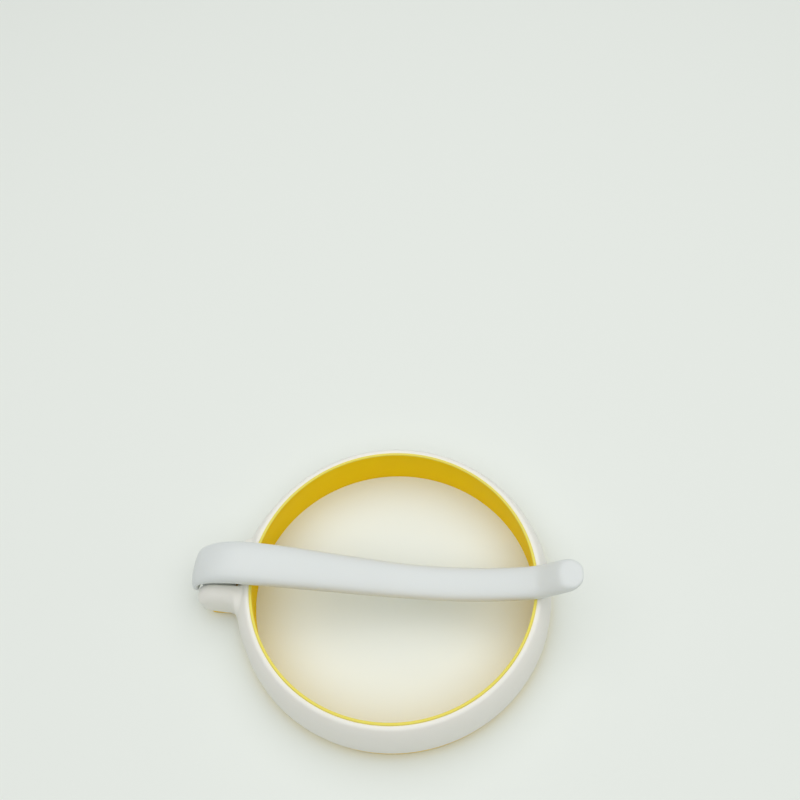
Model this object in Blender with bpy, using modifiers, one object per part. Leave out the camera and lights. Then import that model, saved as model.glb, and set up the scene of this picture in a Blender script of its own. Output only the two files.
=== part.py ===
"""Egg ring with a folding handle, at its real size, in metres, +Z up.

A moulded ring with two hinge ears, a silicone liner that is both its bore and its gasket,
a moulded handle that folds across the ring, and the pin that the handle turns on.

The work surface is Z = 0 and the ring's axis is vertical. The hinge is on the -X side, and its
pin is parallel to Y. The handle is modelled folded, resting on the rim on the +X side. The
pieces are drawn about the ring's axis and then hung on one empty, which puts the middle of the
folded part's length at X = 0.
"""

import math

import bmesh
import bpy
from mathutils import Vector
from mathutils.geometry import interpolate_bezier

MM = 0.001

# Fits between the pieces
SEAT_GAP = 0.3 * MM          # between two pieces that touch
SIDE_GAP = 0.3 * MM          # each side of the knuckle, between the ears
RUNNING_GAP = 0.2 * MM       # round the pin
OVERRUN = 2.0 * MM           # how far a cutter runs past the face that it cuts
WELD = 0.01 * MM             # points this close become one where a turned profile closes

# Silicone liner: the bore, the lip and the gasket
BORE_RADIUS = 44.5 * MM      # at the lip
BORE_FLARE = 0.85 * MM       # how much further out the wall stands at its foot
LINER_WALL = 1.2 * MM
RING_HEIGHT = 16.0 * MM      # from the work surface to the liner's lip
GASKET_THICKNESS = 2.0 * MM
GASKET_INSET = 0.5 * MM      # how far the gasket's edge lies inside the foot above it
GASKET_EDGE = 0.5 * MM       # rounding of the gasket's edge

# Ring shell: a thin rim that swells to a round foot
LIP_REVEAL = 0.3 * MM        # how far the liner's lip stands above the rim
RIM_WIDTH = 1.5 * MM
SHELL_WIDTH = 5.5 * MM       # from the shell's bore to its widest place
SHELL_BULGE_HEIGHT = 4.8 * MM
FOOT_UNDERCUT = 1.2 * MM     # how far the shell draws in again below its widest place

# Hinge ears
EAR_REACH = 5.5 * MM         # from the shell's widest place to the pin's axis
EAR_RADIUS = 6.0 * MM        # round end of each ear, seen from the side
EAR_FOOT = 0.5 * MM          # the round end lies this much above the ear's underside
EAR_STEP = 0.1 * MM          # the ear's underside lies this much above the shell's
EAR_GAP = 10.5 * MM          # between the ears
EAR_THICKNESS = 5.2 * MM
EAR_CORNER = 3.0 * MM        # rounding of the ear's end, seen from above
EAR_FLARE_LENGTH = 3.4 * MM  # the sweep from the ear's side out into the shell
EAR_FLARE_WIDTH = 2.4 * MM
EAR_ROOT = 1.25 * MM         # the ear's root stays this far from the shell's bore
SOCKET_DEPTH = 3.4 * MM      # blind socket in the near ear
PAD_INSET = 1.6 * MM         # the gasket's tongue lies this far inside the ears' outline
PAD_CORNER = 3.0 * MM

# Hinge pin
PIN_RADIUS = 1.5 * MM
PIN_CHAMFER = 0.3 * MM
PIN_RECESS = 0.6 * MM        # its end lies this far below the far ear's face

# Handle: a D-shaped bar, domed outside and nearly flat inside
KNUCKLE_EDGE = 1.6 * MM      # rounding of the knuckle's ends
HOOK_CLEARANCE = 0.7 * MM    # from the ears' round ends to the end of the hook
HOOK_END_THICKNESS = 2.6 * MM
HOOK_END_WIDTH = 13.0 * MM
SHOULDER_OFFSET = 8.7 * MM   # from the pin's axis to the highest place above the hinge
SHOULDER_RISE = 4.8 * MM     # the bar's middle above the lip, there
SHOULDER_THICKNESS = 5.4 * MM
SHOULDER_WIDTH = 13.9 * MM
DIP_DEPTH = 3.1 * MM         # the bar's middle below the lip, where it sags into the ring
DIP_THICKNESS = 4.4 * MM
DIP_WIDTH = 11.2 * MM
REST_THICKNESS = 4.2 * MM    # where the bar rests on the rim
REST_WIDTH = 10.7 * MM
TIP_OVERHANG = 2.5 * MM      # the bar's end past the shell's widest place
TIP_RISE = 9.1 * MM          # the bar's middle above the lip, at its end
TIP_THICKNESS = 4.3 * MM
TIP_WIDTH = 10.4 * MM
TIP_ROUND = 5.6 * MM         # length of the rounded nose past the bar's end
HOOK_ROUND = 2.0 * MM        # length of the rounding at the hook's end
THUMB_FLAT_DEPTH = 1.6 * MM  # how deep the flat on the nose cuts

# Directions, in degrees from +X towards +Z
HOOK_END_ANGLE = 154.0       # where the hook ends, seen from the pin
HOOK_END_SLOPE = 88.0
SHOULDER_SLOPE = -3.0
DIP_SLOPE = 0.0
REST_SLOPE = 21.5
TIP_SLOPE = 34.0
THUMB_FLAT_LEAN = 55.5       # the thumb flat's normal, back from the bar's direction
EAR_END_ANGLES = (10, 22, 34, 46, 58, 70, 84)    # sections round the ear's end

# Shares
DIP_PLACE_SHARE = 0.325      # the lowest place, as a share of the bore's radius
BAR_DOME_SHARE = 0.6         # of the bar's thickness that lies outside its middle line
HOOK_STRETCH_SHARE = 0.34    # of a span's length, for the reach of its curve's handles
BAR_STRETCH_SHARE = 0.32
RIM_SHOULDER_SHARES = (0.45, 0.16)   # first handle of the shell's outer curve
BULGE_SHARE = 0.42                   # second handle, straight above the widest place
EAR_FLARE_SHARES = (0, 0.35, 0.65, 0.85, 1)          # sections along the flare

# Roundness of the sections: 2 is an ellipse, more is squarer
BAR_DOME_POWER = 2.3
BAR_FLAT_POWER = 4.5
EAR_TOP_POWER = 2.6
EAR_FOOT_POWER = 8.0
NOSE_POWER = 0.7
HOOK_PLAN_POWER = 0.7
TIP_PLAN_POWER = 1.0

# Counts
RING_STEPS = 120
BAR_POINTS = 24
BAR_STEPS = (8, 12, 8, 6)    # sections in each span, from the hook to the tip
EAR_POINTS = 16              # round the outside of an ear's section
ROUND_STEPS = 4
PIN_SIDES = 32
KNUCKLE_SIDES = 48

# Sizes that follow from those above
SHELL_BORE = BORE_RADIUS + LINER_WALL + SEAT_GAP
SHELL_RADIUS = SHELL_BORE + SHELL_WIDTH
SHELL_BOTTOM = GASKET_THICKNESS + SEAT_GAP
RIM_HEIGHT = RING_HEIGHT - LIP_REVEAL
FOOT_RADIUS = SHELL_RADIUS - FOOT_UNDERCUT
GASKET_RADIUS = FOOT_RADIUS - GASKET_INSET
PIN_X = -(SHELL_RADIUS + EAR_REACH)
EAR_UNDERSIDE = SHELL_BOTTOM + EAR_STEP
PIN_Z = EAR_UNDERSIDE + EAR_FOOT + EAR_RADIUS
EAR_INNER = EAR_GAP / 2
EAR_OUTER = EAR_INNER + EAR_THICKNESS
EAR_TIP = SHELL_RADIUS + EAR_REACH + EAR_RADIUS
FLARE_END = math.sqrt(SHELL_RADIUS ** 2 - (EAR_OUTER + EAR_FLARE_WIDTH) ** 2)
KNUCKLE_WIDTH = EAR_GAP - 2 * SIDE_GAP
KNUCKLE_RADIUS = EAR_REACH - SEAT_GAP


def clear_scene():
    for old in list(bpy.data.objects):
        bpy.data.objects.remove(old, do_unlink=True)


def collection(name):
    group = bpy.data.collections.new(name)
    bpy.context.scene.collection.children.link(group)
    return group


def plastic(name, colour, roughness, metallic=0.0):
    material = bpy.data.materials.new(name)
    material.use_nodes = True
    shader = material.node_tree.nodes["Principled BSDF"]
    shader.inputs["Base Color"].default_value = (*colour, 1.0)
    shader.inputs["Roughness"].default_value = roughness
    shader.inputs["Metallic"].default_value = metallic
    return material


def add_object(name, shape, group, material=None):
    """Turn a bmesh into a smooth-shaded object with faces pointing out."""
    bmesh.ops.recalc_face_normals(shape, faces=shape.faces)
    mesh = bpy.data.meshes.new(name)
    shape.to_mesh(mesh)
    shape.free()
    mesh.shade_smooth()
    mesh.set_sharp_from_angle(angle=math.radians(35))
    made = bpy.data.objects.new(name, mesh)
    group.objects.link(made)
    if material:
        mesh.materials.append(material)
    else:
        made.hide_render = True
        made.display_type = "WIRE"
    return made


def combine(target, tool, operation):
    step = target.modifiers.new(f"{operation.lower()}_{tool.name}", "BOOLEAN")
    step.object = tool
    step.operation = operation
    step.solver = "EXACT"
    return step


def point_at(x, z, angle, distance):
    """The point in the XZ plane at a direction, in degrees, and distance from another."""
    turn = math.radians(angle)
    return x + distance * math.cos(turn), z + distance * math.sin(turn)


def arc(x, z, radius, start, end, steps):
    """Points of an arc, from one direction to another."""
    return [point_at(x, z, start + (end - start) * i / steps, radius) for i in range(steps + 1)]


def turned(name, profile, group, material):
    """Turn a closed profile of (radius, height) points about the Z axis."""
    shape = bmesh.new()
    points = [shape.verts.new((radius, 0, height)) for radius, height in profile]
    for here, there in zip(points, points[1:] + points[:1]):
        shape.edges.new((here, there))
    mesh = bpy.data.meshes.new(name)
    shape.to_mesh(mesh)
    shape.free()
    made = bpy.data.objects.new(name, mesh)
    group.objects.link(made)
    mesh.materials.append(material)
    screw = made.modifiers.new("turn", "SCREW")
    screw.angle = math.tau
    screw.steps = screw.render_steps = RING_STEPS
    screw.use_merge_vertices = True
    screw.merge_threshold = WELD
    screw.use_smooth_shade = True
    return made


def loft(sections):
    """Skin closed sections of equal count, in order, and cap both ends."""
    shape = bmesh.new()
    loops = [[shape.verts.new(point) for point in section] for section in sections]
    count = len(loops[0])
    for low, high in zip(loops, loops[1:]):
        for i in range(count):
            j = (i + 1) % count
            shape.faces.new((low[i], low[j], high[j], high[i]))
    shape.faces.new(loops[0])
    shape.faces.new(loops[-1])
    return shape


def cut_flat(shape, place, outward):
    """Cut a closed shape at a plane, drop what lies beyond it and close the cut."""
    everything = shape.verts[:] + shape.edges[:] + shape.faces[:]
    bmesh.ops.bisect_plane(shape, geom=everything, plane_co=place, plane_no=outward,
                           clear_outer=True)
    bmesh.ops.holes_fill(shape, edges=[edge for edge in shape.edges if edge.is_boundary])


def rounded(angle, power):
    """A point of the unit superellipse: square-shouldered as the power rises."""
    c, s = round(math.cos(angle), 9), round(math.sin(angle), 9)
    return (math.copysign(abs(c) ** (2 / power), c), math.copysign(abs(s) ** (2 / power), s))


def round_bar(name, radius, start, end, sides, group, material=None):
    """A cylinder on the pin's axis, between two places along Y."""
    shape = bmesh.new()
    bmesh.ops.create_cone(shape, cap_ends=True, segments=sides, radius1=radius, radius2=radius,
                          depth=end - start)
    made = add_object(name, shape, group, material)
    made.location = (PIN_X, (start + end) / 2, PIN_Z)
    made.rotation_euler = (math.pi / 2, 0, 0)
    return made


def edge_bevel(target, width, segments, angle):
    step = target.modifiers.new("round_edges", "BEVEL")
    step.width = width
    step.segments = segments
    step.limit_method = "ANGLE"
    step.angle_limit = math.radians(angle)
    return step


# Silicone liner
def flared(profile):
    """Lean a wall's profile outwards as it goes down, so that the egg leaves the ring."""
    return [(radius + BORE_FLARE * (1 - height / RING_HEIGHT), height)
            for radius, height in profile]


def liner_profile():
    outer = BORE_RADIUS + LINER_WALL
    half = LINER_WALL / 2
    profile = arc(BORE_RADIUS + half, RING_HEIGHT - half, half, 180, 0, 6)
    profile += arc(outer + GASKET_EDGE, GASKET_THICKNESS + GASKET_EDGE, GASKET_EDGE, 180, 270, 2)
    profile = flared(profile)
    profile += arc(GASKET_RADIUS - GASKET_EDGE, GASKET_THICKNESS - GASKET_EDGE, GASKET_EDGE, 90, 0, 3)
    profile += arc(GASKET_RADIUS - GASKET_EDGE, GASKET_EDGE, GASKET_EDGE, 0, -90, 3)
    profile += flared(arc(BORE_RADIUS + GASKET_EDGE, GASKET_EDGE, GASKET_EDGE, 270, 180, 2))
    return profile


def gasket_tongue(group):
    """The part of the gasket that lies under the ears."""
    half_width = EAR_OUTER - PAD_INSET
    tip = EAR_TIP - PAD_INSET
    root = (BORE_RADIUS + LINER_WALL + GASKET_RADIUS) / 2
    shape = bmesh.new()
    bmesh.ops.create_cube(shape, size=1)
    bmesh.ops.scale(shape, vec=(tip - root, 2 * half_width, GASKET_THICKNESS), verts=shape.verts)
    corners = [edge for edge in shape.edges
               if all(vert.co.x < 0 for vert in edge.verts)
               and edge.verts[0].co.y * edge.verts[1].co.y > 0]
    bmesh.ops.bevel(shape, geom=corners, offset=PAD_CORNER, segments=6, profile=0.5,
                    affect="EDGES")
    tongue = add_object("gasket_tongue", shape, group)
    tongue.location = (-(tip + root) / 2, 0, GASKET_THICKNESS / 2)
    return tongue


def make_liner(group, cutters, material):
    liner = turned("silicone_liner", liner_profile(), group, material)
    combine(liner, gasket_tongue(cutters), "UNION")
    return liner


# Ring shell with its ears
def shell_profile():
    """Down the outside: rim, swelling wall, round foot; then across and up the bore."""
    rim = RIM_WIDTH / 2
    profile = flared(arc(SHELL_BORE + rim, RIM_HEIGHT - rim, rim, 180, 20, 5))
    start = profile[-1]
    width = SHELL_RADIUS - start[0]
    height = start[1] - SHELL_BULGE_HEIGHT
    across, down = RIM_SHOULDER_SHARES
    wall = interpolate_bezier(
        Vector((start[0], start[1])),
        Vector((start[0] + across * width, start[1] - down * height)),
        Vector((SHELL_RADIUS, SHELL_BULGE_HEIGHT + BULGE_SHARE * height)),
        Vector((SHELL_RADIUS, SHELL_BULGE_HEIGHT)), 10)
    profile += [tuple(point) for point in wall[1:]]
    drop = SHELL_BULGE_HEIGHT - SHELL_BOTTOM
    for i in range(1, 5):
        turn = math.radians(90 * i / 4)
        profile.append((FOOT_RADIUS + FOOT_UNDERCUT * math.cos(turn),
                        SHELL_BULGE_HEIGHT - drop * math.sin(turn)))
    chamfer = GASKET_EDGE + SEAT_GAP
    profile += flared([(SHELL_BORE + chamfer, SHELL_BOTTOM),
                       (SHELL_BORE, SHELL_BOTTOM + chamfer)])
    return profile


def ear_section(along):
    """One section of the ear on the -Y side: flat inside, and rounded over on the outside."""
    x = along - EAR_TIP
    back = EAR_RADIUS - along
    if back > 0:
        top = bottom = math.sqrt(EAR_RADIUS ** 2 - back ** 2)
    else:
        top = EAR_RADIUS
        bottom = EAR_RADIUS + 2 * EAR_FOOT * min(-back / EAR_CORNER, 1)
    outer = EAR_OUTER
    if along < EAR_CORNER:
        corner = EAR_CORNER - along
        outer -= EAR_CORNER - math.sqrt(EAR_CORNER ** 2 - corner ** 2)
    sweep = (x + FLARE_END) / EAR_FLARE_LENGTH + 1
    if sweep > 0:
        outer += EAR_FLARE_WIDTH * (1 - math.sqrt(1 - min(sweep, 1) ** 2))
    section = []
    for i in range(EAR_POINTS + 1):
        angle = math.pi * (i / EAR_POINTS - 1 / 2)
        above = angle >= 0
        y, z = rounded(angle, EAR_TOP_POWER if above else EAR_FOOT_POWER)
        section.append((x, -EAR_INNER - y * (outer - EAR_INNER),
                        PIN_Z + z * (top if above else bottom)))
    return section


def make_ears(group):
    """One ear, lofted along its length, cut flat underneath, and mirrored."""
    places = [EAR_RADIUS * (1 - math.cos(math.radians(angle))) for angle in EAR_END_ANGLES]
    places += [EAR_TIP - FLARE_END - EAR_FLARE_LENGTH * (1 - share)
               for share in EAR_FLARE_SHARES]
    places += [EAR_RADIUS + EAR_CORNER, EAR_TIP - SHELL_BORE - EAR_ROOT]
    shape = loft([ear_section(along) for along in sorted(places)])
    cut_flat(shape, (0, 0, EAR_UNDERSIDE), (0, 0, -1))
    ears = add_object("ears", shape, group)
    mirror = ears.modifiers.new("other_ear", "MIRROR")
    mirror.use_axis = (False, True, False)
    mirror.use_mirror_merge = False
    return ears


def make_shell(group, cutters, material):
    shell = turned("outer_ring", shell_profile(), group, material)
    combine(shell, make_ears(cutters), "UNION")
    bore = round_bar("pin_bore", PIN_RADIUS + RUNNING_GAP, -(EAR_INNER + SOCKET_DEPTH),
                     EAR_OUTER + OVERRUN, PIN_SIDES, cutters)
    combine(shell, bore, "DIFFERENCE")
    return shell


# Handle
def bar_stations():
    """Where the bar passes: x, z, slope, width and thickness, from the hook to the tip."""
    hook = point_at(PIN_X, PIN_Z, HOOK_END_ANGLE,
                    EAR_RADIUS + HOOK_CLEARANCE + (1 - BAR_DOME_SHARE) * HOOK_END_THICKNESS)
    rest_inside = (1 - BAR_DOME_SHARE) * REST_THICKNESS / math.cos(math.radians(REST_SLOPE))
    rest_z = RING_HEIGHT + SEAT_GAP + rest_inside
    tip_x = SHELL_RADIUS + TIP_OVERHANG
    return (
        (*hook, HOOK_END_SLOPE, HOOK_END_WIDTH, HOOK_END_THICKNESS),
        (PIN_X + SHOULDER_OFFSET, RING_HEIGHT + SHOULDER_RISE, SHOULDER_SLOPE,
         SHOULDER_WIDTH, SHOULDER_THICKNESS),
        (DIP_PLACE_SHARE * BORE_RADIUS, RING_HEIGHT - DIP_DEPTH, DIP_SLOPE,
         DIP_WIDTH, DIP_THICKNESS),
        (BORE_RADIUS + LINER_WALL / 2, rest_z, REST_SLOPE, REST_WIDTH, REST_THICKNESS),
        (tip_x, RING_HEIGHT + TIP_RISE, TIP_SLOPE, TIP_WIDTH, TIP_THICKNESS),
    )


def bar_line():
    """The bar's middle line, as (point, slope direction, width, thickness) in the XZ plane."""
    stations = bar_stations()
    line = []
    stretches = (HOOK_STRETCH_SHARE,) + (BAR_STRETCH_SHARE,) * (len(stations) - 2)
    for first, last, steps, stretch in zip(stations, stations[1:], BAR_STEPS, stretches):
        start, end = Vector(first[:2]), Vector(last[:2])
        reach = stretch * (end - start).length
        leave = start + reach * Vector(point_at(0, 0, first[2], 1))
        arrive = end - reach * Vector(point_at(0, 0, last[2], 1))
        points = interpolate_bezier(start, leave, arrive, end, steps + 1)
        for i, point in enumerate(points[:-1]):
            blend = i / steps
            ease = blend * blend * (3 - 2 * blend)
            ahead = (points[i + 1] - points[max(i - 1, 0)]).normalized()
            if i == 0:
                ahead = Vector(point_at(0, 0, first[2], 1))
            width = first[3] + (last[3] - first[3]) * ease
            thickness = first[4] + (last[4] - first[4]) * ease
            line.append((point, ahead, width, thickness))
    tip = stations[-1]
    line.append((Vector(tip[:2]), Vector(point_at(0, 0, tip[2], 1)), tip[3], tip[4]))
    return line


def bar_section(point, ahead, width, thickness):
    """A D-shaped section, domed on the side that faces up when the handle is folded."""
    outward = Vector((-ahead.y, ahead.x))
    section = []
    for i in range(BAR_POINTS):
        angle = math.tau * i / BAR_POINTS
        domed = math.sin(angle) >= 0
        across, up = rounded(angle, BAR_DOME_POWER if domed else BAR_FLAT_POWER)
        up *= thickness * (BAR_DOME_SHARE if domed else 1 - BAR_DOME_SHARE)
        place = point + up * outward
        section.append((place.x, across * width / 2, place.y))
    return section


def rounded_end(last, length, direction, plan_power):
    """Sections that shrink like a nose past an end of the bar."""
    point, ahead, width, thickness = last
    sections = []
    for i in range(1, ROUND_STEPS + 1):
        turn = math.radians(80 * i / ROUND_STEPS)
        place = point + direction * length * math.sin(turn) * ahead
        sections.append(bar_section(place, ahead, width * math.cos(turn) ** plan_power,
                                    thickness * math.cos(turn) ** NOSE_POWER))
    return sections


def make_bar():
    line = bar_line()
    sections = rounded_end(line[0], HOOK_ROUND, -1, HOOK_PLAN_POWER)[::-1]
    sections += [bar_section(*place) for place in line]
    sections += rounded_end(line[-1], TIP_ROUND, 1, TIP_PLAN_POWER)
    shape = loft(sections)
    point, ahead, _, thickness = line[-1]
    outward = Vector((-ahead.y, ahead.x))
    lean = math.radians(THUMB_FLAT_LEAN)
    normal = math.cos(lean) * ahead + math.sin(lean) * outward
    nose = point + TIP_ROUND * math.cos(lean) * ahead
    nose += BAR_DOME_SHARE * thickness * math.sin(lean) * outward - THUMB_FLAT_DEPTH * normal
    cut_flat(shape, (nose.x, 0, nose.y), (normal.x, 0, normal.y))
    return shape


def hook_web(group):
    """The web between the knuckle and the hook, as wide as the knuckle's straight part."""
    hook = [point for point, _, _, _ in bar_line()[:BAR_STEPS[0] // 2 + 2]]
    outline = [Vector((PIN_X, PIN_Z))] + hook
    width = KNUCKLE_WIDTH - 2 * KNUCKLE_EDGE
    shape = bmesh.new()
    base = shape.faces.new([shape.verts.new((point.x, -width / 2, point.y))
                            for point in outline])
    pushed = bmesh.ops.extrude_face_region(shape, geom=[base])
    moved = [part for part in pushed["geom"] if isinstance(part, bmesh.types.BMVert)]
    bmesh.ops.translate(shape, vec=(0, width, 0), verts=moved)
    return add_object("hook_web", shape, group)


def make_handle(group, cutters, material):
    handle = add_object("handle", make_bar(), group, material)
    knuckle = round_bar("knuckle", KNUCKLE_RADIUS, -KNUCKLE_WIDTH / 2, KNUCKLE_WIDTH / 2,
                        KNUCKLE_SIDES, cutters)
    edge_bevel(knuckle, KNUCKLE_EDGE, 4, 60)
    combine(handle, hook_web(cutters), "UNION")
    combine(handle, knuckle, "UNION")
    hole = round_bar("knuckle_hole", PIN_RADIUS + RUNNING_GAP, -KNUCKLE_WIDTH / 2 - OVERRUN,
                     KNUCKLE_WIDTH / 2 + OVERRUN, PIN_SIDES, cutters)
    combine(handle, hole, "DIFFERENCE")
    return handle


def hang_on_pin(handle):
    """Put the handle's origin on the pin's axis, so that it turns where the real one does."""
    axle = Vector((PIN_X, 0, PIN_Z))
    for vert in handle.data.vertices:
        vert.co -= axle
    handle.location = axle


# Hinge pin
def make_pin(group, material):
    pin = round_bar("hinge_pin", PIN_RADIUS, -(EAR_INNER + SOCKET_DEPTH - SEAT_GAP),
                    EAR_OUTER - PIN_RECESS, PIN_SIDES, group, material)
    edge_bevel(pin, PIN_CHAMFER, 1, 60)
    return pin


def centre_on_length(group, others, handle):
    """Hang everything on one empty, with the middle of the folded part's length at X = 0."""
    reach = [handle.location.x + vert.co.x for vert in handle.data.vertices]
    middle = bpy.data.objects.new("egg_ring_middle", None)
    for made in list(group.objects) + list(others.objects):
        made.parent = middle
    group.objects.link(middle)
    middle.location.x = -(min(reach) + max(reach)) / 2


clear_scene()
parts = collection("egg_ring")
tools = collection("cutters")
make_liner(parts, tools, plastic("yellow_silicone", (0.70, 0.45, 0.01), 0.55))
make_shell(parts, tools, plastic("warm_white_nylon", (0.74, 0.72, 0.66), 0.45))
grip = make_handle(parts, tools, plastic("cool_grey_nylon", (0.62, 0.67, 0.69), 0.42))
hang_on_pin(grip)
make_pin(parts, plastic("stainless_steel", (0.60, 0.60, 0.62), 0.30, metallic=1.0))
centre_on_length(parts, tools, grip)
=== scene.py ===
"""Egg ring with a folding handle, dressed for a studio picture.

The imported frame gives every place: the ring's axis, the hinge and the surface that it stands on.
Sizes are in millimetres, and the file follows the egg ring as it is put together.
"""

import math

import bmesh
import bpy
from mathutils import Matrix, Vector
from mathutils.geometry import interpolate_bezier


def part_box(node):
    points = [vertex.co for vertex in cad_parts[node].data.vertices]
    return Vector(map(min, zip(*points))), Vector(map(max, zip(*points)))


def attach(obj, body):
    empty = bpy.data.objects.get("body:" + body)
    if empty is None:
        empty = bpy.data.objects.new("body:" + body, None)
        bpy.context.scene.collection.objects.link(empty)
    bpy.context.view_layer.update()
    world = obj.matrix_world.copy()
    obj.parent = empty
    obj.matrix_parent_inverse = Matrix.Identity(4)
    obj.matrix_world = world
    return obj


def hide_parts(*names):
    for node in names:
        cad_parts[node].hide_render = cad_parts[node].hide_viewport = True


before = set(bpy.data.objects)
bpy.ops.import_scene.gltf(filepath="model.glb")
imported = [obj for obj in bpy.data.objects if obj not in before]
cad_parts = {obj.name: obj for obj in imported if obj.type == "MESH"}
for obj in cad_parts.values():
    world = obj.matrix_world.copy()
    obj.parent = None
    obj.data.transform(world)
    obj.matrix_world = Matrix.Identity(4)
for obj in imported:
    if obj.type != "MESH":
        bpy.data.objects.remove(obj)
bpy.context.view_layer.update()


# Silicone liner
# The real piece is one soft moulding: a thin wall that is the ring's bore and leans out a little
# at its foot, and a flat gasket that seals on the pan, with a tongue under the hinge. It is
# yellow silicone rubber, pressed in a mould, and the stiff ring is fitted over it.
MM = 0.001
low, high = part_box("silicone_liner")
RING_X = (high.x - high.y) / MM
LIP_HEIGHT = high.z / MM
LIP_ROUND = 0.3
BORE_RADIUS, LINER_RADIUS = 44.85, 45.75    # the wall's two sides at the lip
BORE_FOOT, LINER_FOOT = 45.45, 46.7         # and at its foot
FOOT_OVAL = 1.016                           # length over width of the bore's foot
GASKET_SHOW = 0.25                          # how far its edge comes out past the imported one
GASKET_RADIUS = high.y / MM + GASKET_SHOW
GASKET_HEIGHT, GASKET_ROUND = 2.3, 0.5
TONGUE_TIP, TONGUE_ROOT = low.x / MM, RING_X - 47.0
TONGUE_HALF_WIDTH, TONGUE_HEIGHT = 9.3, 1.6
TONGUE_CORNER, TONGUE_ROUND = 3.0, 0.4
TURN_STEPS = 240
CLOSE = 0.1         # a place this near to a named height or radius is on it
SHARP = 1           # an edge that turns by more than this, in radians, is a corner
TOWARDS = 0.9       # a face with more of its normal than this along an axis faces that way
SMOOTH_ANGLE = math.radians(35)


def start_piece(name):
    """Name the new primitive, put its place into its mesh and open it for editing."""
    piece = bpy.context.object
    piece.name = piece.data.name = name
    bpy.ops.object.transform_apply(location=True, rotation=True, scale=True)
    bpy.ops.object.mode_set(mode="EDIT")
    bpy.ops.mesh.select_mode(type="VERT")
    bpy.ops.mesh.select_all(action="DESELECT")
    return piece


def pick(piece, kind, wanted):
    """Select just the faces, edges or corners whose middle, in millimetres, is wanted."""
    bpy.ops.mesh.select_mode(type={"verts": "VERT", "edges": "EDGE", "faces": "FACE"}[kind])
    bpy.ops.mesh.select_all(action="DESELECT")
    shape = bmesh.from_edit_mesh(piece.data)
    for element in getattr(shape, kind):
        corners = [element] if kind == "verts" else element.verts
        middle = sum((corner.co for corner in corners), Vector()) / len(corners) / MM
        element.select_set(wanted(middle, element))
    shape.select_flush(True)
    bmesh.update_edit_mesh(piece.data)


def finish_modifier(piece, kind, **settings):
    """Add one modifier to a piece and apply it."""
    step = piece.modifiers.new(kind.lower(), kind)
    for key, value in settings.items():
        setattr(step, key, value)
    bpy.context.view_layer.objects.active = piece
    bpy.ops.object.modifier_apply(modifier=step.name)


def radius_of(place):
    return math.hypot(place.x - RING_X, place.y)


# The wall is grown from the top of a disc and leans in; the bore is then bridged through both.
bpy.ops.object.select_all(action="DESELECT")
bpy.ops.mesh.primitive_cylinder_add(
    vertices=TURN_STEPS, radius=GASKET_RADIUS * MM, depth=GASKET_HEIGHT * MM,
    location=(RING_X * MM, 0, GASKET_HEIGHT / 2 * MM))
liner = start_piece("moulded_liner")
pick(liner, "faces", lambda at, face: face.normal.z > TOWARDS)
bpy.ops.mesh.inset(thickness=(GASKET_RADIUS - LINER_FOOT) * MM, depth=0)
bpy.ops.mesh.extrude_region_move(
    TRANSFORM_OT_translate={"value": (0, 0, (LIP_HEIGHT - GASKET_HEIGHT) * MM)})
lean = LINER_RADIUS / LINER_FOOT
bpy.ops.transform.resize(value=(lean, lean, 1), center_override=(RING_X * MM, 0, 0))
bpy.ops.mesh.inset(thickness=(LINER_RADIUS - BORE_RADIUS) * MM, depth=0)
pick(liner, "faces", lambda at, face: face.normal.z < -TOWARDS)
bpy.ops.mesh.inset(thickness=(GASKET_RADIUS - BORE_FOOT) * MM, depth=0)
pick(liner, "faces", lambda at, face: len(face.verts) == TURN_STEPS)
bpy.ops.mesh.bridge_edge_loops()
pick(liner, "verts", lambda at, corner: radius_of(at) < BORE_FOOT + CLOSE and at.z < CLOSE)
bpy.ops.transform.resize(value=(FOOT_OVAL, 1, 1), center_override=(RING_X * MM, 0, 0))
pick(liner, "edges", lambda at, edge: radius_of(at) < LINER_RADIUS + CLOSE
     and at.z > LIP_HEIGHT - CLOSE and edge.calc_face_angle(0) > SHARP)
bpy.ops.mesh.bevel(offset=LIP_ROUND * MM, segments=6, profile=0.5)
pick(liner, "edges", lambda at, edge: radius_of(at) > GASKET_RADIUS - GASKET_ROUND - CLOSE
     and (at.z < CLOSE or at.z > GASKET_HEIGHT - CLOSE) and edge.calc_face_angle(0) > SHARP)
bpy.ops.mesh.bevel(offset=GASKET_ROUND * MM, segments=3, profile=0.5)
bpy.ops.object.mode_set(mode="OBJECT")

# The tongue is rounded in plan, one corner at a time, then all over, and joined to the gasket.
bpy.ops.object.select_all(action="DESELECT")
bpy.ops.mesh.primitive_cube_add(
    size=1, location=((TONGUE_TIP + TONGUE_ROOT) / 2 * MM, 0, TONGUE_HEIGHT / 2 * MM),
    scale=((TONGUE_ROOT - TONGUE_TIP) * MM, 2 * TONGUE_HALF_WIDTH * MM, TONGUE_HEIGHT * MM))
tongue = start_piece("tongue")
for side in (-1, 1):
    pick(tongue, "edges", lambda at, edge: at.x < TONGUE_TIP + CLOSE
         and at.y * side > TONGUE_HALF_WIDTH - CLOSE and CLOSE < at.z < TONGUE_HEIGHT - CLOSE)
    bpy.ops.mesh.bevel(offset=TONGUE_CORNER * MM, segments=8, profile=0.5)
pick(tongue, "edges", lambda at, edge: edge.calc_face_angle(0) > SHARP)
bpy.ops.mesh.bevel(offset=TONGUE_ROUND * MM, segments=3, profile=0.5)
bpy.ops.object.mode_set(mode="OBJECT")
finish_modifier(liner, "BOOLEAN", object=tongue, operation="UNION", solver="EXACT")
bpy.data.objects.remove(tongue)
bpy.ops.object.select_all(action="DESELECT")
liner.select_set(True)
bpy.ops.object.shade_smooth_by_angle(angle=SMOOTH_ANGLE)


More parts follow.
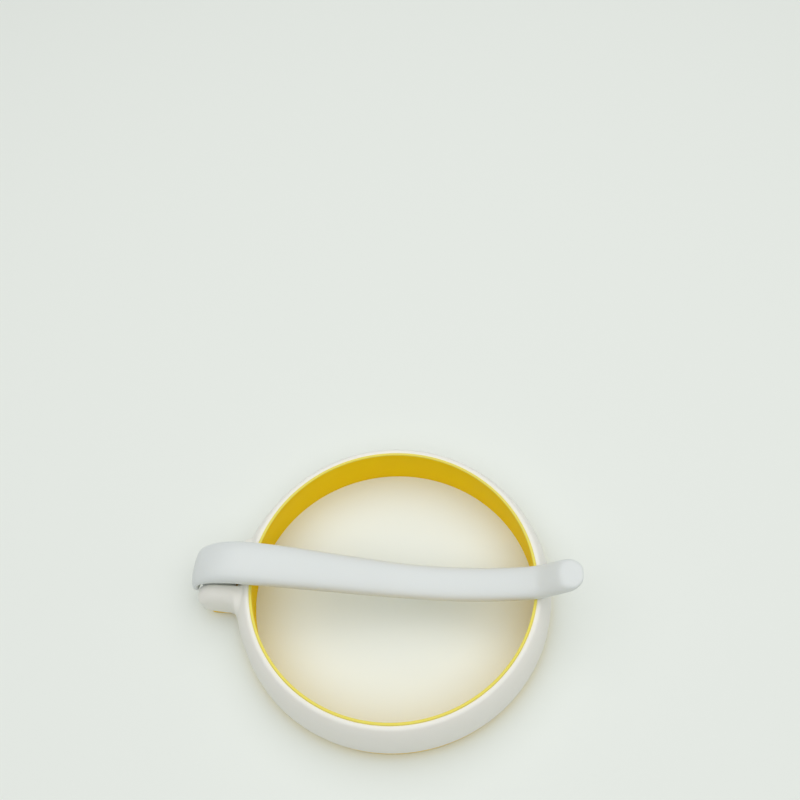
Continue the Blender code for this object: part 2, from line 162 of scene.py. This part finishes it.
def linear(code):
    """Turn an sRGB hex colour into the linear colour that a shader takes."""
    channels = [int(code[i:i + 2], 16) / 255 for i in (1, 3, 5)]
    return (*(c / 12.92 if c <= 0.04045 else ((c + 0.055) / 1.055) ** 2.4 for c in channels), 1.0)


def new_material(name):
    material = bpy.data.materials.new(name)
    material.use_nodes = True
    material.node_tree.nodes.clear()
    return material


def add_node(material, kind, settings=None, links=None):
    """Add a node, set its properties or inputs by name, and link other nodes into it."""
    node = material.node_tree.nodes.new(kind)
    for key, value in (settings or {}).items():
        if isinstance(key, str) and hasattr(node, key):
            setattr(node, key, value)
        else:
            node.inputs[key].default_value = value
    for key, source in (links or {}).items():
        material.node_tree.links.new(source, node.inputs[key])
    return node


# the sockets of a colour Mix node, which share their names with its other kinds
MIX_SHARE, MIX_FIRST, MIX_SECOND, MIX_RESULT = 0, 6, 7, 2
GRAIN_DEPTH = 0.02


def moulded_surface(name, colours, cloud_size, rough, grain_size, relief):
    """Start a moulded material: two tones and a gloss that drift together, and a raised grain."""
    material = new_material(name)
    place = add_node(material, "ShaderNodeTexCoord")
    cloud = add_node(material, "ShaderNodeTexNoise",
                     {"Scale": 1 / (cloud_size * MM), "Detail": 3},
                     {"Vector": place.outputs["Object"]})
    tint = add_node(material, "ShaderNodeMix",
                    {"data_type": "RGBA", MIX_FIRST: linear(colours[0]),
                     MIX_SECOND: linear(colours[1])},
                    {MIX_SHARE: cloud.outputs["Fac"]})
    matt = add_node(material, "ShaderNodeMapRange", {"To Min": rough[0], "To Max": rough[1]},
                    {"Value": cloud.outputs["Fac"]})
    grain = add_node(material, "ShaderNodeTexNoise",
                     {"Scale": 1 / (grain_size * MM), "Detail": 2},
                     {"Vector": place.outputs["Object"]})
    bump = add_node(material, "ShaderNodeBump",
                    {"Strength": relief, "Distance": GRAIN_DEPTH * MM},
                    {"Height": grain.outputs["Fac"]})
    return material, place, tint, matt, bump


# Moulded silicone rubber: to the eye a deep, matt yellow with no gloss, a little soft and waxy
# because light goes into it. The top of the thin lip is painted paler, a painted highlight for the
# sheen on it and the light that comes through it. The mould's own grain is too fine to show and is
# drawn at 0.5 mm.
# the heights over which the lip's top fades into the painted highlight
LIP_SHEEN_PAINT_START, LIP_SHEEN_PAINT_END = 15.3, 15.9
silicone, place, tint, matt, bump = moulded_surface(
    "moulded_silicone", ("#F9D000", "#FDD600"), cloud_size=18, rough=(0.50, 0.66),
    grain_size=0.5, relief=0.15)
axes = add_node(silicone, "ShaderNodeSeparateXYZ", {}, {"Vector": place.outputs["Object"]})
lip = add_node(silicone, "ShaderNodeMapRange",
               {"From Min": LIP_SHEEN_PAINT_START * MM, "From Max": LIP_SHEEN_PAINT_END * MM},
               {"Value": axes.outputs["Z"]})
# painted highlight: the lip's top is mixed towards a pale yellow, standing in for sheen and light
# coming through
pale = add_node(silicone, "ShaderNodeMix", {"data_type": "RGBA", MIX_SECOND: linear("#EDE06A")},
                {MIX_SHARE: lip.outputs["Result"], MIX_FIRST: tint.outputs[MIX_RESULT]})
skin = add_node(silicone, "ShaderNodeBsdfPrincipled",
                {"IOR": 1.41, "Subsurface Weight": 0.15, "Subsurface Scale": 1 * MM,
                 "Subsurface Radius": (1.0, 0.7, 0.1), "Specular IOR Level": 0.1},
                {"Base Color": pale.outputs[MIX_RESULT], "Roughness": matt.outputs["Result"],
                 "Normal": bump.outputs["Normal"]})
add_node(silicone, "ShaderNodeOutputMaterial", {}, {"Surface": skin.outputs["BSDF"]})
liner.data.materials.append(silicone)
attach(liner, "ring")
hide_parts("silicone_liner")


# Ring shell
# The real piece is the stiff outer ring with the two hinge ears, one moulding in warm white
# heat-resistant nylon. Its rim is thin, its wall swells to a round foot, and the ears run into
# the wall with soft fillets.
RIM_RADIUS, RIM_ROUND, RIM_MIDDLE = 46.25, 0.9, 14.95
RIM_SIDES = 24
# depths below the bulge are shortened to FOOT_SHARE; what lies past SWELL_START loses SWELL_CUT
# of itself, but the ears and the wall on each side of them, up to EARS_HALF, lose nothing
BULGE_HEIGHT, FOOT_SHARE = 4.8, 0.9
SWELL_START, SWELL_CUT = 47.0, 0.15
EARS_HALF, EARS_FADE = 14, 10
SHELL_WELD = 0.001
SHELL_VOXEL, SHELL_SMOOTHING = 0.4, 7

bpy.ops.object.select_all(action="DESELECT")
bpy.ops.mesh.primitive_torus_add(
    major_radius=RIM_RADIUS * MM, minor_radius=RIM_ROUND * MM, major_segments=TURN_STEPS,
    minor_segments=RIM_SIDES, location=(RING_X * MM, 0, RIM_MIDDLE * MM))
rim = start_piece("rim")
bpy.ops.object.mode_set(mode="OBJECT")

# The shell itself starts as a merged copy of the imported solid.
shell = bpy.data.objects.new("ring_shell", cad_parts["outer_ring"].data.copy())
bpy.context.scene.collection.objects.link(shell)
shell.data.materials.clear()
bpy.ops.object.select_all(action="DESELECT")
shell.select_set(True)
bpy.context.view_layer.objects.active = shell
bpy.ops.object.mode_set(mode="EDIT")
bpy.ops.mesh.select_all(action="SELECT")
bpy.ops.mesh.remove_doubles(threshold=SHELL_WELD * MM)
pick(shell, "verts", lambda at, corner: at.z < BULGE_HEIGHT)
bpy.ops.transform.resize(value=(1, 1, FOOT_SHARE), center_override=(0, 0, BULGE_HEIGHT * MM))
shape = bmesh.from_edit_mesh(shell.data)
for corner in shape.verts:
    at = corner.co / MM
    beyond = radius_of(at) - SWELL_START
    clear_of_ears = 1 if at.x > RING_X else min(max((abs(at.y) - EARS_HALF) / EARS_FADE, 0), 1)
    if beyond > 0:
        draw_in = 1 - SWELL_CUT * clear_of_ears * beyond / radius_of(at)
        corner.co.x = (RING_X + (at.x - RING_X) * draw_in) * MM
        corner.co.y *= draw_in
bmesh.update_edit_mesh(shell.data)
bpy.ops.object.mode_set(mode="OBJECT")
rim.select_set(True)
bpy.ops.object.join()
finish_modifier(shell, "REMESH", mode="VOXEL", voxel_size=SHELL_VOXEL * MM,
                use_smooth_shade=True)
finish_modifier(shell, "SMOOTH", factor=0.5, iterations=SHELL_SMOOTHING)


def moulded_nylon(name, colours, rough, see_through):
    """Moulded nylon: to the eye a pale, satin, even skin whose sheen is broken by a fine grain.

    The mould's spark-eroded grain is about 0.1 mm and wouldn't show, so it is drawn coarser.
    """
    material, _, tint, matt, bump = moulded_surface(
        name, colours, cloud_size=25, rough=rough, grain_size=0.35, relief=0.12)
    skin = add_node(material, "ShaderNodeBsdfPrincipled",
                    {"IOR": 1.5, "Subsurface Weight": see_through, "Subsurface Scale": 1 * MM,
                     "Subsurface Radius": (1.0, 0.9, 0.7)},
                    {"Base Color": tint.outputs[MIX_RESULT], "Roughness": matt.outputs["Result"],
                     "Normal": bump.outputs["Normal"]})
    add_node(material, "ShaderNodeOutputMaterial", {}, {"Surface": skin.outputs["BSDF"]})
    return material


shell.data.materials.append(moulded_nylon("moulded_white_nylon", ("#EFEEE5", "#F2F1E9"),
                                          rough=(0.38, 0.48), see_through=0.1))
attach(shell, "ring")
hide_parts("outer_ring")


# Hinge pin
# The real piece is a short rod of drawn stainless steel, pushed in from the far ear and left a
# little below its face.
low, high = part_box("hinge_pin")
PIN_X, PIN_Z = (low.x + high.x) / 2 / MM, (low.z + high.z) / 2 / MM
PIN_RADIUS = (high.z - low.z) / 2 / MM
PIN_CHAMFER = 0.3
ROD_SIDES = 64
ACROSS = (math.pi / 2, 0, 0)        # turns a cylinder or a circle to lie along the hinge

bpy.ops.object.select_all(action="DESELECT")
bpy.ops.mesh.primitive_cylinder_add(
    vertices=ROD_SIDES, radius=PIN_RADIUS * MM, depth=high.y - low.y,
    location=(low + high) / 2, rotation=ACROSS)
pin = start_piece("hinge_rod")
pick(pin, "faces", lambda at, face: abs(face.normal.y) > TOWARDS)
bpy.ops.mesh.bevel(offset=PIN_CHAMFER * MM, segments=2, profile=0.5)
bpy.ops.object.mode_set(mode="OBJECT")
bpy.ops.object.shade_smooth_by_angle(angle=SMOOTH_ANGLE)

# Drawn stainless steel: to the eye a grey metal with a satin shine, streaked along its length.
# The streaks are 0.2 mm wide, coarser than the real ones, and 20 times as long.
STREAK_WIDTH, STREAK_STRETCH = 0.2, 0.05
steel = new_material("drawn_stainless_steel")
place = add_node(steel, "ShaderNodeTexCoord")
along = add_node(steel, "ShaderNodeMapping", {"Scale": (1, STREAK_STRETCH, 1)},
                 {"Vector": place.outputs["Object"]})
streaks = add_node(steel, "ShaderNodeTexNoise", {"Scale": 1 / (STREAK_WIDTH * MM), "Detail": 2},
                   {"Vector": along.outputs["Vector"]})
satin = add_node(steel, "ShaderNodeMapRange", {"To Min": 0.22, "To Max": 0.42},
                 {"Value": streaks.outputs["Fac"]})
skin = add_node(steel, "ShaderNodeBsdfPrincipled",
                {"Base Color": linear("#C9C9CB"), "Metallic": 1.0},
                {"Roughness": satin.outputs["Result"]})
add_node(steel, "ShaderNodeOutputMaterial", {}, {"Surface": skin.outputs["BSDF"]})
pin.data.materials.append(steel)
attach(pin, "ring")
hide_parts("hinge_pin")


# Handle
# The real piece is one moulding in pale cool grey nylon: a knuckle between the ears, a hook that
# wraps over them, and a D-shaped bar that sags across the ring and lifts to a thumb flat.
HOOK_RADIUS, HOOK_ANGLE = 7.4, math.radians(154)
HOOK = (PIN_X + HOOK_RADIUS * math.cos(HOOK_ANGLE), PIN_Z + HOOK_RADIUS * math.sin(HOOK_ANGLE))
# where the bar passes: x, z, slope in degrees, width, thickness
STATIONS = (
    (*HOOK, 88, 13.0, 2.6),
    (PIN_X + 8.7, 20.8, -3, 13.9, 5.4),
    (RING_X + 14.46, 12.9, 0, 11.2, 4.4),
    (RING_X + 45.1, 18.11, 21.5, 10.7, 4.2),
    (RING_X + 53.85, 24.45, 33, 10.9, 4.7),
)
# for each span between them: the number of sections, and the reach of its curve's handles as a
# share of its length
SPAN_STEPS = (16, 24, 16, 10)
SPAN_REACHES = (0.34, 0.32, 0.32, 0.32)
SECTION_POINTS = 64
DOME_SHARE = 0.6                    # of the thickness that is above the bar's middle line
DOME_POWER, FLAT_POWER = 2.3, 4.5   # 2 is an ellipse, and more is squarer
HOOK_END = {"length": 3.7, "plan_power": 0.5, "steps": 6}
NOSE = {"length": 6.0, "plan_power": 0.9, "steps": 12}
END_TURN, END_POWER = 84, 0.7       # both ends stop a few degrees short of a point
THUMB_FLAT_LEAN, THUMB_FLAT_DEPTH = math.radians(63), 1.35
TIP_START = 46.0                    # the thumb flat cuts only what is past this
WEB_WIDTH, WEB_SECTIONS = 6.7, 11
KNUCKLE_RADIUS, KNUCKLE_WIDTH, KNUCKLE_EDGE = 5.2, 9.9, 1.6
KNUCKLE_SIDES = 96
HANDLE_VOXEL, HANDLE_SMOOTHING = 0.3, 14
TIP_SOFT_START, TIP_SOFT_RAMP, TIP_SMOOTHING = 47.0, 7.0, 130
PIN_HOLE_RADIUS = 1.7
HANDLE_SMOOTH_ANGLE = math.radians(40)


def facing(slope):
    turn = math.radians(slope)
    return Vector((math.cos(turn), math.sin(turn)))


def bar_line():
    """The bar's middle line, as (point, direction, width, thickness) in the XZ plane."""
    line = []
    for first, last, steps, share in zip(STATIONS, STATIONS[1:], SPAN_STEPS, SPAN_REACHES):
        start, end = Vector(first[:2]), Vector(last[:2])
        reach = share * (end - start).length
        points = interpolate_bezier(start, start + reach * facing(first[2]),
                                    end - reach * facing(last[2]), end, steps + 1)
        for i, point in enumerate(points[:-1]):
            ease = (i / steps) ** 2 * (3 - 2 * i / steps)
            ahead = facing(first[2]) if i == 0 else (points[i + 1] - points[i - 1]).normalized()
            line.append((point, ahead, first[3] + (last[3] - first[3]) * ease,
                         first[4] + (last[4] - first[4]) * ease))
    line.append((Vector(STATIONS[-1][:2]), facing(STATIONS[-1][2]), *STATIONS[-1][3:]))
    return line


def rounded_end(last, direction, length, plan_power, steps):
    """Sections that shrink past an end of the bar; plan_power shapes them seen from above."""
    point, ahead, width, thickness = last
    made = []
    for i in range(1, steps + 1):
        turn = math.radians(END_TURN * i / steps)
        made.append((point + direction * length * math.sin(turn) * ahead, ahead,
                     width * math.cos(turn) ** plan_power,
                     thickness * math.cos(turn) ** END_POWER))
    return made


def section_frame(point, ahead, width, thickness):
    """Carries a unit section, dome up and flat side down, to its place on the bar."""
    return Matrix(((ahead.x, 0, -ahead.y, point.x), (0, 1, 0, 0),
                   (ahead.y, 0, ahead.x, point.y), (0, 0, 0, 1))) @ Matrix.Diagonal(
                       (1, width / 2, thickness, 1))


# A D-shaped section is extruded along the bar, from the hook's end to the nose.
bar = bar_line()
sections = rounded_end(bar[0], -1, **HOOK_END)[::-1] + bar + rounded_end(bar[-1], 1, **NOSE)
bpy.ops.object.select_all(action="DESELECT")
bpy.ops.mesh.primitive_circle_add(vertices=SECTION_POINTS, radius=1, fill_type="NGON",
                                  rotation=(0, math.pi / 2, 0))
handle = start_piece("folding_handle")
before = section_frame(*sections[0])
shape = bmesh.from_edit_mesh(handle.data)
for corner in shape.verts:
    across, up = corner.co.y, corner.co.z
    power = DOME_POWER if up > 0 else FLAT_POWER
    share = DOME_SHARE if up > 0 else 1 - DOME_SHARE
    corner.co = (0, math.copysign(abs(across) ** (2 / power), across),
                 share * math.copysign(abs(up) ** (2 / power), up))
    corner.co = before @ corner.co * MM
bpy.ops.mesh.select_all(action="SELECT")
for section in sections[1:]:
    bpy.ops.mesh.extrude_region_move()
    after = section_frame(*section)
    carry = after @ before.inverted()
    shape = bmesh.from_edit_mesh(handle.data)
    for corner in shape.verts:
        if corner.select:
            corner.co = carry @ (corner.co / MM) * MM
    before = after
bmesh.update_edit_mesh(handle.data)
bpy.ops.mesh.select_all(action="SELECT")
bpy.ops.mesh.normals_make_consistent(inside=False)

# The thumb flat is a slice off the nose's upper side.
point, ahead, _, thickness = bar[-1]
outward = Vector((-ahead.y, ahead.x))
normal = math.cos(THUMB_FLAT_LEAN) * ahead + math.sin(THUMB_FLAT_LEAN) * outward
cut = point + NOSE["length"] * math.cos(THUMB_FLAT_LEAN) * ahead
cut += DOME_SHARE * thickness * math.sin(THUMB_FLAT_LEAN) * outward - THUMB_FLAT_DEPTH * normal
pick(handle, "faces", lambda at, face: at.x > RING_X + TIP_START)
bpy.ops.mesh.bisect(plane_co=(cut.x * MM, 0, cut.y * MM), plane_no=(normal.x, 0, normal.y),
                    use_fill=True, clear_outer=True)
bpy.ops.object.mode_set(mode="OBJECT")

# The web fills the hook between the bar and the pin.
outline = [Vector((PIN_X, PIN_Z))] + [section[0] for section in bar[:WEB_SECTIONS]]
bpy.ops.object.select_all(action="DESELECT")
bpy.ops.mesh.primitive_circle_add(vertices=len(outline), radius=1, fill_type="NGON",
                                  rotation=ACROSS)
web = start_piece("hook_web")
shape = bmesh.from_edit_mesh(web.data)
for corner, (x, z) in zip(shape.verts, outline):
    corner.co = Vector((x, -WEB_WIDTH / 2, z)) * MM
bpy.ops.mesh.select_all(action="SELECT")
bpy.ops.mesh.extrude_region_move(TRANSFORM_OT_translate={"value": (0, WEB_WIDTH * MM, 0)})
bpy.ops.mesh.select_all(action="SELECT")
bpy.ops.mesh.normals_make_consistent(inside=False)
bpy.ops.object.mode_set(mode="OBJECT")

bpy.ops.object.select_all(action="DESELECT")
bpy.ops.mesh.primitive_cylinder_add(
    vertices=KNUCKLE_SIDES, radius=KNUCKLE_RADIUS * MM, depth=KNUCKLE_WIDTH * MM,
    location=(PIN_X * MM, 0, PIN_Z * MM), rotation=ACROSS)
knuckle = start_piece("knuckle")
pick(knuckle, "faces", lambda at, face: abs(face.normal.y) > TOWARDS)
bpy.ops.mesh.bevel(offset=KNUCKLE_EDGE * MM, segments=6, profile=0.5)
bpy.ops.object.mode_set(mode="OBJECT")

# The three become one moulding, softened most at the tip, and the pin's hole is drilled.
bpy.ops.object.select_all(action="DESELECT")
for joined in (handle, web, knuckle):
    joined.select_set(True)
bpy.context.view_layer.objects.active = handle
bpy.ops.object.join()
finish_modifier(handle, "REMESH", mode="VOXEL", voxel_size=HANDLE_VOXEL * MM,
                use_smooth_shade=True)
finish_modifier(handle, "SMOOTH", factor=0.5, iterations=HANDLE_SMOOTHING)
softened = handle.vertex_groups.new(name="tip")
for corner in handle.data.vertices:
    past = (corner.co.x / MM - RING_X - TIP_SOFT_START) / TIP_SOFT_RAMP
    softened.add([corner.index], min(max(past, 0), 1), "REPLACE")
finish_modifier(handle, "SMOOTH", factor=0.5, iterations=TIP_SMOOTHING, vertex_group="tip")
bpy.ops.object.select_all(action="DESELECT")
bpy.ops.mesh.primitive_cylinder_add(
    vertices=ROD_SIDES, radius=PIN_HOLE_RADIUS * MM, depth=2 * KNUCKLE_WIDTH * MM,
    location=(PIN_X * MM, 0, PIN_Z * MM), rotation=ACROSS)
drill = start_piece("drill")
bpy.ops.object.mode_set(mode="OBJECT")
finish_modifier(handle, "BOOLEAN", object=drill, operation="DIFFERENCE", solver="EXACT")
bpy.data.objects.remove(drill)
bpy.ops.object.select_all(action="DESELECT")
handle.select_set(True)
bpy.ops.object.shade_smooth_by_angle(angle=HANDLE_SMOOTH_ANGLE)

handle.data.materials.append(moulded_nylon("moulded_grey_nylon", ("#DEE3E1", "#E1E6E4"),
                                           rough=(0.38, 0.46), see_through=0.08))
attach(handle, "handle")
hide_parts("handle")


# Floor, light and camera
# The floor is matt card, faintly green and even; the light is a wide soft box overhead, weaker
# ones behind and on the right, and a dim white room.
FLOOR_SIZE = 3000
ROOM_STRENGTH = 0.255

bpy.ops.object.select_all(action="DESELECT")
bpy.ops.mesh.primitive_plane_add(size=FLOOR_SIZE * MM, location=(0, 0, 0))
floor = bpy.context.object
floor.name = "floor"
card = new_material("floor_card")
skin = add_node(card, "ShaderNodeBsdfPrincipled",
                {"Base Color": linear("#EAEFE9"), "Roughness": 0.85})
add_node(card, "ShaderNodeOutputMaterial", {}, {"Surface": skin.outputs["BSDF"]})
floor.data.materials.append(card)

world = bpy.data.worlds.new("studio")
bpy.context.scene.world = world
world.use_nodes = True
world.node_tree.nodes["Background"].inputs["Color"].default_value = linear("#FFFFFF")
world.node_tree.nodes["Background"].inputs["Strength"].default_value = ROOM_STRENGTH


def soft_box(name, place, size, watts):
    """Hang a round white soft box at a place, turned to the middle of the floor."""
    bpy.ops.object.light_add(type="AREA", location=[v * MM for v in place])
    light = bpy.context.object
    light.name = name
    light.data.shape = "DISK"
    light.data.size = size * MM
    light.data.energy = watts
    light.rotation_euler = (Vector() - Vector(place)).to_track_quat("-Z", "Y").to_euler()


soft_box("overhead", (0, 0, 800), size=1800, watts=9.1)
soft_box("back", (0, 600, 700), size=900, watts=0.5)
soft_box("right", (900, -50, 350), size=600, watts=0.4)

# The camera stands where the photograph's did, found from the outlines in it.
FOCAL_PX, PICTURE_PX, SENSOR = 899.8, 800, 36
PITCH, ROLL, YAW = math.radians(55.51), math.radians(5.03), math.radians(8.78)
CAMERA_PLACE = (RING_X + 24.89, -113.07, 282.35)
CAMERA_NEAR = 10
camera_data = bpy.data.cameras.new("photograph")
camera = bpy.data.objects.new("photograph", camera_data)
bpy.context.scene.collection.objects.link(camera)
right = Vector((1, 0, 0))
up = Vector((0, math.sin(PITCH), math.cos(PITCH)))
ahead = Vector((0, math.cos(PITCH), -math.sin(PITCH)))
x_axis = math.cos(ROLL) * right - math.sin(ROLL) * up
y_axis = math.sin(ROLL) * right + math.cos(ROLL) * up
turn = Matrix.Rotation(YAW, 3, "Z")
axes = Matrix((turn @ x_axis, turn @ y_axis, -(turn @ ahead))).transposed()
camera.matrix_world = Matrix.Translation(Vector(CAMERA_PLACE) * MM) @ axes.to_4x4()
camera_data.sensor_width = SENSOR
camera_data.lens = SENSOR * FOCAL_PX / PICTURE_PX
camera_data.clip_start = CAMERA_NEAR * MM
bpy.context.scene.camera = camera
bpy.context.scene.view_settings.view_transform = "Standard"
